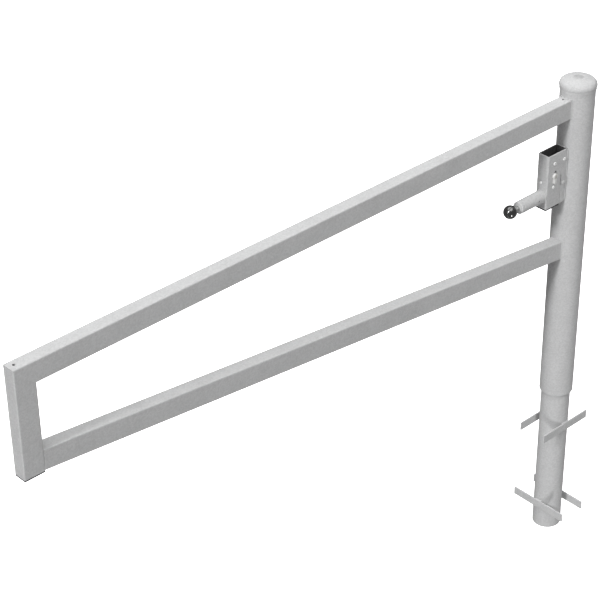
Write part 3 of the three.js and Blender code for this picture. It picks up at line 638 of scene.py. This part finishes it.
def stile_place(y, w):
    """A point on the stile's near face, where the lower rail ends."""
    t = stile_end(y, w)
    z = LOWER_Z + w * math.cos(SLOPE) + t * math.sin(SLOPE)
    return np.stack([w * math.sin(SLOPE) - t * math.cos(SLOPE), y, z], axis=-1)


stile_path = outline_path(round_rectangle(RAIL[0] - 1.6, RAIL[1] - 1.6, RAIL_CORNER - 0.8), stile_place)
fit(weld_bead("weld_stile_foot", stile_path, 0.85, closed=True, pitch=1.8), ZINC, "gate", "galvanised_steel")

# ---------------------------------------------------------------- lock box
# An upright length of 80 x 40 x 3 mm tube welded to the sleeve, open on top. The plunger passes through
# both end walls, and the front is cut out for the cylinder, its screws and a saw kerf beside the guide
# block. Its inside walls are coloured dark as painted shade, for the shade deep in the open box.


def inside_shade_material(name):
    """Painted shade for the box's inside: dark grey and rough steel, a little lighter in patches, standing
    in for the shade deep in the box.
    """
    material, node, feed = start_material(name, metallic=0.3)
    place = node("TexCoord").outputs["Object"]
    patches = node("TexNoise", {"Vector": place, "Scale": 70.0, "Detail": 6.0}).outputs[0]
    ramp = node("ValToRGB", {"Fac": patches})
    ramp.color_ramp.elements[0].color = (0.1, 0.1, 0.102, 1)
    ramp.color_ramp.elements[1].color = (0.2, 0.198, 0.194, 1)
    feed("Base Color", ramp.outputs[0])
    feed("Roughness", scaled_add(node, patches, 0.3, 0.55))
    feed("Normal", node("Bump", {"Height": patches, "Strength": 0.2, "Distance": 0.0003}).outputs[0])
    return material


def profile_outline(clearance=0.0):
    """The outline of a profile cylinder in x and z, round its barrel's axis. Seen from there at angle p
    from straight down, the leg's side is at leg / sin p, its round foot at drop cos p +
    sqrt(leg^2 - (drop sin p)^2), and the barrel at its own radius."""
    barrel, leg, drop = 8.5 + clearance, 5.0 + clearance, 19.5
    join, foot = math.asin(leg / barrel), math.atan2(leg, drop)
    angle = np.concatenate([
        np.linspace(-foot, foot, 13),
        np.linspace(foot, join, 9)[1:],
        np.linspace(join, 2 * np.pi - join, 49)[1:],
        np.linspace(-join, -foot, 9)[1:-1] + 2 * np.pi,
    ])
    sine, cosine = np.abs(np.sin(angle)), np.cos(angle)
    side = leg / np.maximum(sine, 1e-6)
    round_foot = drop * cosine + np.sqrt(np.maximum(leg**2 - (drop * sine) ** 2, 0))
    low_part = np.where(sine * drop <= leg * cosine, round_foot, side)
    in_leg = (cosine > 0) & (sine < leg / barrel - 1e-9)
    radius = np.where(in_leg, low_part, barrel)
    return radius[:, None] * np.stack([np.sin(angle), -np.cos(angle)], axis=-1)


box_low, box_high = extent("lock_box")
BOX_MID = (box_low[0] + box_high[0]) / 2
BOX_WALL = 3.0
BOX_CORNER = 4.0
BOX_SIZE = (box_high[0] - box_low[0], box_high[1] - box_low[1])
box_sections = []
box_heights = []
for inset, z in ((0.4, box_low[2]), (0, box_low[2] + 0.4), (0, box_low[2] + BAND), (0, box_high[2] - BAND),
                 (0, box_high[2] - 0.5), (0.15, box_high[2] - 0.15), (0.5, box_high[2]),
                 (BOX_WALL - 0.3, box_high[2]), (BOX_WALL, box_high[2] - 0.3), (BOX_WALL, box_low[2])):
    box_sections.append(round_rectangle(BOX_SIZE[0] - 2 * inset, BOX_SIZE[1] - 2 * inset,
                                        max(BOX_CORNER - inset, 1.0)))
    box_heights.append(z)
box = grid_surface("lock_box_detail", along("z", np.stack(box_sections) + (BOX_MID, 0),
                                            np.array(box_heights)[:, None]), close_rows=True)

CYLINDER = np.array([-102.0, 811.0])
CYLINDER_SCREW = (BOLT_Y, CYLINDER[1] - 20)
RELIEF_R = 4.0
SCREW_HOLE_R = 3.4
FRONT = (-26.0, -12.0)
SCREW_PLACES = [(-63.0, 775.5), (-103.5, 775.5), (-63.0, 851.0), (-103.5, 851.0)]
GUIDE_X = -72.0
GUIDE_TOP = 766
KERF_TOP = 804
box_cutters = [
    prism("plunger_way", circle(HOLE_R, (0, PLUNGER_Z)), -145, -40, "x"),
    prism("bolt_way", PASSAGE, -59, -46, "x"),
    prism("cylinder_way", profile_outline(0.6) + CYLINDER, *FRONT, "y"),
    prism("relief", circle(RELIEF_R, CYLINDER + (5, 11), 32), *FRONT, "y"),
    prism("cylinder_screw_way", circle(2.9, CYLINDER_SCREW, 24), -141, -121, "x"),
    prism("kerf", rectangle((GUIDE_X - 2.5, GUIDE_TOP), (GUIDE_X, KERF_TOP)), *FRONT, "y"),
    prism("groove", rectangle((GUIDE_X - 1.2, 700), (GUIDE_X, GUIDE_TOP + 0.5)), -25, -19, "y"),
]
box_cutters += [prism(f"screw_way_{i}", circle(SCREW_HOLE_R, place, 24), *FRONT, "y")
                for i, place in enumerate(SCREW_PLACES)]
pierce(box, *box_cutters)
# The dark inner material is painted shade: it stands in for the shade deep inside the open box.
SCALE = inside_shade_material("inside_painted_shade")
fit(box, ZINC, "gate", "galvanised_steel", "lock_box")
box.data.materials.append(SCALE)
# Faces inside the outer walls take slot 1, the painted shade.
centres = np.empty(len(box.data.polygons) * 3)
box.data.polygons.foreach_get("center", centres)
inward = np.abs(centres.reshape(-1, 3)[:, :2] / MM - (BOX_MID, 0)) < np.array(BOX_SIZE) / 2 - 2
box.data.polygons.foreach_set("material_index", inward.all(axis=1).astype(np.int32))

BOX_WELD_X = -49.9
BOX_WELD_R = 2.3
for word, y in (("front", -18.6), ("back", 18.6)):
    seam = straight((BOX_WELD_X, y, box_low[2] + 3), (BOX_WELD_X, y, box_high[2] - 3))
    bead = weld_bead(f"weld_box_{word}", seam, BOX_WELD_R, pitch=3.4)
    fit(bead, ZINC, "gate", "galvanised_steel")

foot_low, foot_high = extent("box_plug")
box_plug = tube_plug("box_plug_detail", foot_high[0] - foot_low[0], BOX_SIZE[1], BOX_CORNER, BOX_WALL,
                     (foot_low[0] + foot_high[0]) / 2, foot_low[2] + FLANGE, FLANGE)
fit(box_plug, BLACK, "gate", "plug_black", "box_plug")

# ---------------------------------------------------------------- lock case and its screws
# The mortice lock lies in the box, held by four button-head socket screws through the front wall. Case,
# cover, guide block and deadbolt are hardly seen from outside and stay as the CAD has them, in black
# passivated and in oiled steel. The case's near black is partly painted shade for its place deep in the box.


def machined(name, colour, roughness=0.38):
    """Oiled machined steel: dark, with the fine parallel lines of the cutter and stains of oil."""
    material, node, feed = start_material(name, metallic=0.9)
    place = node("TexCoord").outputs["Object"]
    lines = node("TexWave", {"Vector": place, "Scale": 420.0, "Distortion": 1.2, "Detail": 2.0}).outputs[1]
    stains = node("TexNoise", {"Vector": place, "Scale": 90.0, "Detail": 4.0}).outputs[0]
    level = scaled_add(node, stains, 0.4, 0.75)
    level = scaled_add(node, lines, 0.08, level)
    feed("Base Color", node("VectorMath", {0: colour, "Scale": level}, operation="SCALE").outputs[0])
    feed("Roughness", scaled_add(node, stains, 0.2, roughness - 0.1))
    feed("Normal", node("Bump", {"Height": lines, "Strength": 0.1, "Distance": 0.0001}).outputs[0])
    return material


def hexagon_radius(angle, apothem):
    """Distance from the middle of a hexagon to its edge."""
    return apothem / np.cos((angle + np.pi / 6) % (np.pi / 3) - np.pi / 6)


def socket_screw(name, head_r, head, shank_r, shank, hexagon, place, axis, seat, outward):
    """A button-head screw as one skin: from the middle of the socket's floor up its six walls, over a
    quarter-ellipse dome, under the head, down the shank and over its end. Every row has 48 points;
    the socket's rows take the hexagon's radius at each angle, the others are round."""
    angle = np.arange(48) * 2 * np.pi / 48
    socket = hexagon_radius(angle, hexagon / 2)
    round_row = np.ones(48)
    dome = np.linspace(1, 0, 9)[:, None] * np.pi / 2
    rows = [socket * 0, socket, socket, socket + 0.25]
    heights = [head * 0.35, head * 0.35, head * 0.93, head]
    crown_r = hexagon / 2 + 0.75
    rows += list((crown_r + (head_r - crown_r) * np.cos(dome)) * round_row)
    heights += list(0.3 + (head - 0.3) * np.sin(dome[:, 0]))
    rows += [round_row * head_r, round_row * shank_r, round_row * shank_r, round_row * 0]
    heights += [0.0, 0.0, -shank, -shank]
    ring = np.stack([np.cos(angle), np.sin(angle)], axis=-1)
    across = np.array(place) + np.stack(rows)[:, :, None] * ring
    return grid_surface(name, along(axis, across, seat + outward * np.array(heights)[:, None]))


SCREW_STEEL = plated("screw_zinc", (0.8, 0.805, 0.8), roughness=0.6, metallic=0.0)
SCREW_HEAD_R = 5.5
SCREW_HEAD = 3.3
for number, place in enumerate(SCREW_PLACES, 1):
    seat = extent(f"case_screw_{number}")[0][1] + SCREW_HEAD
    screw = socket_screw(f"case_screw_{number}_detail", SCREW_HEAD_R, SCREW_HEAD, 3.0, 9.0, 4.0, place,
                         "y", seat, -1)
    fit(screw, SCREW_STEEL, "gate", "zinc_plated_steel", f"case_screw_{number}")

OILED = machined("oiled_steel", (0.3, 0.3, 0.31))
# Black passivated zinc, kept near black also as painted shade for the case deep in the box.
BLACK_ZINC_AND_SHADE = plated("black_passivated_and_shade", (0.05, 0.05, 0.055), roughness=0.5, metallic=0.5)
dress(BLACK_ZINC_AND_SHADE, "lock_case", "lock_case_cover")
dress(OILED, "guide_block", "lock_bolt", "cylinder_cam")

# ---------------------------------------------------------------- profile cylinder
# A half profile cylinder, nickel plated, that stands proud of the box by 7 mm, held by a screw from the
# box's end. Its plug, of nickelled brass, turns with the key and carries the keyway. The slot round the
# cam is cut through the barrel behind.

NICKEL = plated("nickel", (0.8, 0.8, 0.785), roughness=0.52, metallic=0.1)
body_low, body_high = extent("cylinder_body")
FACE_Y = body_low[1]
sections = [profile_outline() * 0, profile_outline(-0.5), profile_outline(-0.15), profile_outline(),
            profile_outline(), profile_outline(-0.3), profile_outline() * 0]
stations = np.array([FACE_Y, FACE_Y, FACE_Y + 0.15, FACE_Y + 0.5, body_high[1] - 0.3, body_high[1],
                     body_high[1]])
cylinder = grid_surface("cylinder_body_detail", along("y", np.stack(sections) + CYLINDER,
                                                      stations[:, None]))
pierce(
    cylinder,
    prism("bore", circle(6.8, CYLINDER, 64), FACE_Y - 1, -1, "y"),
    prism("cam_slot", circle(15.8, CYLINDER, 64), -2, 8, "y"),
    prism("thread", circle(2.8, CYLINDER_SCREW, 24), CYLINDER[0] - 15, CYLINDER[0] + 15, "x"),
)
fit(cylinder, NICKEL, "gate", "zinc_plated_steel", "cylinder_body")

PLUG_NICKEL = plated("plug_nickel", (0.7, 0.69, 0.66), roughness=0.5, metallic=0.15)
KEY_HALF = 1.2
KEY_DOWN, KEY_UP = 5.0, 3.5
PLUG_R = 6.5
KEY_DEPTH = 23
down_turn, up_turn = math.atan2(KEY_HALF, KEY_DOWN), math.pi - math.atan2(KEY_HALF, KEY_UP)
keyway_corners = [down_turn, 2 * np.pi - down_turn, up_turn, 2 * np.pi - up_turn]
plug_angle = np.sort(np.concatenate([np.arange(64) * 2 * np.pi / 64, keyway_corners]))
toward = np.stack([np.sin(plug_angle), -np.cos(plug_angle)], axis=-1)
keyway = np.minimum(KEY_HALF / np.maximum(np.abs(toward[:, 0]), 1e-6),
                    np.where(toward[:, 1] < 0, KEY_DOWN, KEY_UP) / np.maximum(np.abs(toward[:, 1]), 1e-6))
plug_low, plug_high = extent("cylinder_plug")
plug_rim = keyway * 0 + PLUG_R
plug_rows = [keyway * 0, keyway, keyway, plug_rim - 0.3, plug_rim, plug_rim, keyway * 0]
plug_depths = np.array([plug_low[1] + KEY_DEPTH, plug_low[1] + KEY_DEPTH, plug_low[1], plug_low[1],
                        plug_low[1] + 0.3, plug_high[1], plug_high[1]])
plug = grid_surface("cylinder_plug_detail", along(
    "y", CYLINDER + np.stack(plug_rows)[:, :, None] * toward, plug_depths[:, None]))
fit(plug, PLUG_NICKEL, "key_plug", "brass", "cylinder_plug")

end_low, end_high = extent("cylinder_screw")
END_HEAD = 2.6
end_screw = socket_screw("cylinder_screw_detail", 4.75, END_HEAD, 2.5, end_high[0] - end_low[0] - END_HEAD,
                         3.0, CYLINDER_SCREW, "x", end_low[0] + END_HEAD, -1)
fit(end_screw, SCREW_STEEL, "gate", "zinc_plated_steel", "cylinder_screw")

# ---------------------------------------------------------------- plunger housing
# A short tube with a vent hole, welded to the box's end and closed by a turned cap with a chamfered
# nose that guides the plunger's rod. In it a compression spring pushes the bolt towards the post.

PLUNGER_AXIS = (0.0, PLUNGER_Z)
house_low, house_high = extent("plunger_housing")
HOUSE_R = house_high[1]
HOUSE_BORE = 16.0
housing = turned("plunger_housing_detail", tube_wall(HOUSE_BORE, HOUSE_R, house_low[0], house_high[0]),
                 "x", PLUNGER_AXIS, 96, close_rows=True)
HOUSE_VENT_R = 3.0
HOUSE_VENT_X = -159.0
pierce(housing, prism("housing_vent", circle(HOUSE_VENT_R, (HOUSE_VENT_X, PLUNGER_Z), 24), -25, -12, "y"))
fit(housing, ZINC, "gate", "galvanised_steel", "plunger_housing")


def ring_path(radius, x, steps=190):
    """A circle round the plunger's axis."""
    angle = np.arange(steps) * 2 * np.pi / steps
    return np.stack([np.full(steps, x), radius * np.cos(angle), PLUNGER_Z + radius * np.sin(angle)], axis=-1)


weld_housing = weld_bead("weld_housing", ring_path(HOUSE_R + 0.4, house_high[0] - 0.8), 1.1, closed=True)
fit(weld_housing, ZINC, "gate", "galvanised_steel")

nose_low, nose_high = extent("housing_end_cap")
FACE_X = house_low[0] - GAP
nose_profile = [(6.4, nose_high[0]), (15.7, nose_high[0]), (15.7, FACE_X), (17.6, FACE_X),
                (17.6, FACE_X - 0.4), (18.5, FACE_X - 1.1), (18.7, FACE_X - 1.4), (18.7, FACE_X - 4),
                (18.7, FACE_X - 7.1), (18.5, FACE_X - 7.7), (16.4, FACE_X - 9.8), (16.0, FACE_X - 10),
                (11.2, FACE_X - 10), (11.0, FACE_X - 10.2), (11.0, nose_low[0] + 0.3),
                (10.7, nose_low[0]), (7.0, nose_low[0]), (6.4, nose_low[0] + 0.6)]
nose = turned("housing_end_cap_detail", nose_profile, "x", PLUNGER_AXIS, 96, close_rows=True)
fit(nose, ZINC, "gate", "galvanised_steel", "housing_end_cap")

SPRING = machined("spring_wire", (0.42, 0.43, 0.44), roughness=0.3)
dress(SPRING, "plunger_spring")

# ---------------------------------------------------------------- plunger
# The turned bolt with its chamfered tip, shoulder and thin rod. A seat ring rides against the shoulder,
# and the rod ends in a black phenolic ball knob with a nickelled insert.

rod_low, rod_high = extent("plunger_bolt")
BOLT_R = 10.0
ROD_R = 6.0
SHOULDER_X = -150.0
bolt_profile = [(0, rod_high[0]), (6.6, rod_high[0]), (7.2, rod_high[0] - 0.3), (9.8, rod_high[0] - 2.8),
                (BOLT_R, rod_high[0] - 3.3), (BOLT_R, rod_high[0] - 7), (BOLT_R, SHOULDER_X + BAND),
                (BOLT_R, SHOULDER_X + 0.4), (BOLT_R - 0.4, SHOULDER_X), (ROD_R + 0.2, SHOULDER_X),
                (ROD_R, SHOULDER_X - 0.2), (ROD_R, SHOULDER_X - 5), (ROD_R, rod_low[0] + BAND),
                (ROD_R, rod_low[0] + 0.5), (ROD_R - 0.5, rod_low[0]), (0, rod_low[0])]
plunger = turned("plunger_bolt_detail", bolt_profile, "x", PLUNGER_AXIS, 64)
fit(plunger, PLATED, "plunger", "zinc_plated_steel", "plunger_bolt")
dress(PLATED, "spring_seat")
INSERT = plated("insert_nickel", (0.74, 0.74, 0.72), roughness=0.34, metallic=0.6)
dress(INSERT, "knob_insert")


def phenolic(name):
    """Polished black phenolic: deep black under a clear gloss, a faint orange peel, dust in the gloss."""
    material, node, feed = start_material(name, roughness=0.1)
    shader = material.node_tree.nodes["Principled BSDF"]
    shader.inputs["Specular IOR Level"].default_value = 0.9
    shader.inputs["Coat Weight"].default_value = 1.0
    shader.inputs["Coat IOR"].default_value = 1.75
    shader.inputs["Coat Roughness"].default_value = 0.22
    place = node("TexCoord").outputs["Object"]
    dust = node("TexNoise", {"Vector": place, "Scale": 160.0, "Detail": 5.0}).outputs[0]
    peel = node("TexNoise", {"Vector": place, "Scale": 90.0, "Detail": 1.0}).outputs[0]
    level = scaled_add(node, dust, 0.012, 0.006)
    feed("Base Color", node("CombineColor", {0: level, 1: level, 2: level}).outputs[0])
    feed("Roughness", scaled_add(node, dust, 0.06, 0.17))
    feed("Normal", node("Bump", {"Height": peel, "Strength": 0.02, "Distance": 0.0002}).outputs[0])
    return material


knob_low, knob_high = extent("ball_knob")
BALL_R = (knob_high[1] - knob_low[1]) / 2
BALL_X = knob_low[0] + BALL_R
flat_angle = math.acos((knob_high[0] - BALL_X) / BALL_R)
ball_angle = np.linspace(np.pi, flat_angle, 49)
ball_profile = list(zip(BALL_R * np.sin(ball_angle), BALL_X + BALL_R * np.cos(ball_angle)))
ball_profile[0] = (0, knob_low[0])
BORE_R = 7.8
bore_end = knob_high[0] - 22
ball_profile += [(8.2, knob_high[0]), (BORE_R, knob_high[0] - 0.4), (BORE_R, bore_end), (0, bore_end)]
knob = turned("ball_knob_detail", ball_profile, "x", PLUNGER_AXIS, 96)
fit(knob, phenolic("knob_phenolic"), "plunger", "knob_black", "ball_knob")

# ---------------------------------------------------------------- studio
# A plain white floor level with the tube's foot, an even pale surround, a very broad light from
# above, a small one from beyond the arm's free end, and one from the front and below. The camera stands
# off the free end.

AZIMUTH, ELEVATION, ROLL = (math.radians(a) for a in (-42.414, 32.845, -0.749))
right = np.array([math.cos(AZIMUTH), math.sin(AZIMUTH), 0])
back = np.array([math.sin(AZIMUTH) * math.cos(ELEVATION), -math.cos(AZIMUTH) * math.cos(ELEVATION),
                 math.sin(ELEVATION)])
right = math.cos(ROLL) * right + math.sin(ROLL) * np.cross(back, right)
up = np.cross(back, right)
AIM = (-1.0632, 0.0, 0.8136)
DISTANCE = 4.9575
eye = np.array(AIM) + DISTANCE * back
turn = Matrix(np.stack([right, up, back], axis=1).tolist()).to_4x4()
camera = bpy.data.objects.new("camera", bpy.data.cameras.new("camera"))
camera.matrix_world = Matrix.Translation(eye.tolist()) @ turn
camera.data.lens = 116.62
camera.data.sensor_width = 36
bpy.context.scene.collection.objects.link(camera)
bpy.context.scene.camera = camera

FLOOR_SIZE = 400.0
floor_mesh = bpy.data.meshes.new("floor")
floor_z = cad_low[2]
floor_half = FLOOR_SIZE / 2
floor_mesh.from_pydata(
    [(x, y, floor_z) for x, y in rectangle((-floor_half, -floor_half), (floor_half, floor_half))],
    [], [(0, 1, 2, 3)])
floor = bpy.data.objects.new("floor", floor_mesh)
bpy.context.scene.collection.objects.link(floor)
floor_paint, _, _ = start_material("floor_paint", roughness=0.9)
floor_shader = floor_paint.node_tree.nodes["Principled BSDF"]
floor_shader.inputs["Base Color"].default_value = (0.9, 0.9, 0.9, 1)
floor_shader.inputs["Emission Color"].default_value = (1, 1, 1, 1)
floor_shader.inputs["Emission Strength"].default_value = 1.0
floor_mesh.materials.append(floor_paint)
floor.visible_diffuse = False
floor.visible_glossy = False
floor.visible_shadow = False
floor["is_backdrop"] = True

world = bpy.data.worlds.new("surround")
bpy.context.scene.world = world
world.use_nodes = True
world.node_tree.nodes["Background"].inputs["Color"].default_value = (1, 1, 1, 1)
world.node_tree.nodes["Background"].inputs["Strength"].default_value = 0.18


def sun(name, azimuth, elevation, strength, width):
    """A light from far away in that direction, width degrees across, that shines back along its z."""
    lamp = bpy.data.lights.new(name, "SUN")
    lamp.energy = strength * math.pi
    lamp.angle = math.radians(width)
    source = bpy.data.objects.new(name, lamp)
    a, e = math.radians(azimuth), math.radians(elevation)
    out = np.array([math.sin(a) * math.cos(e), -math.cos(a) * math.cos(e), math.sin(e)])
    across = np.array([math.cos(a), math.sin(a), 0])
    source.matrix_world = Matrix(np.stack([across, np.cross(out, across), out], axis=1).tolist()).to_4x4()
    bpy.context.scene.collection.objects.link(source)


sun("top_light", -60, 84, 0.83, 70)
sun("left_light", -85, 31, 0.49, 7)
sun("front_light", -20, -34, 0.34, 8)
bpy.context.scene.view_settings.view_transform = "Standard"

low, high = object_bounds()
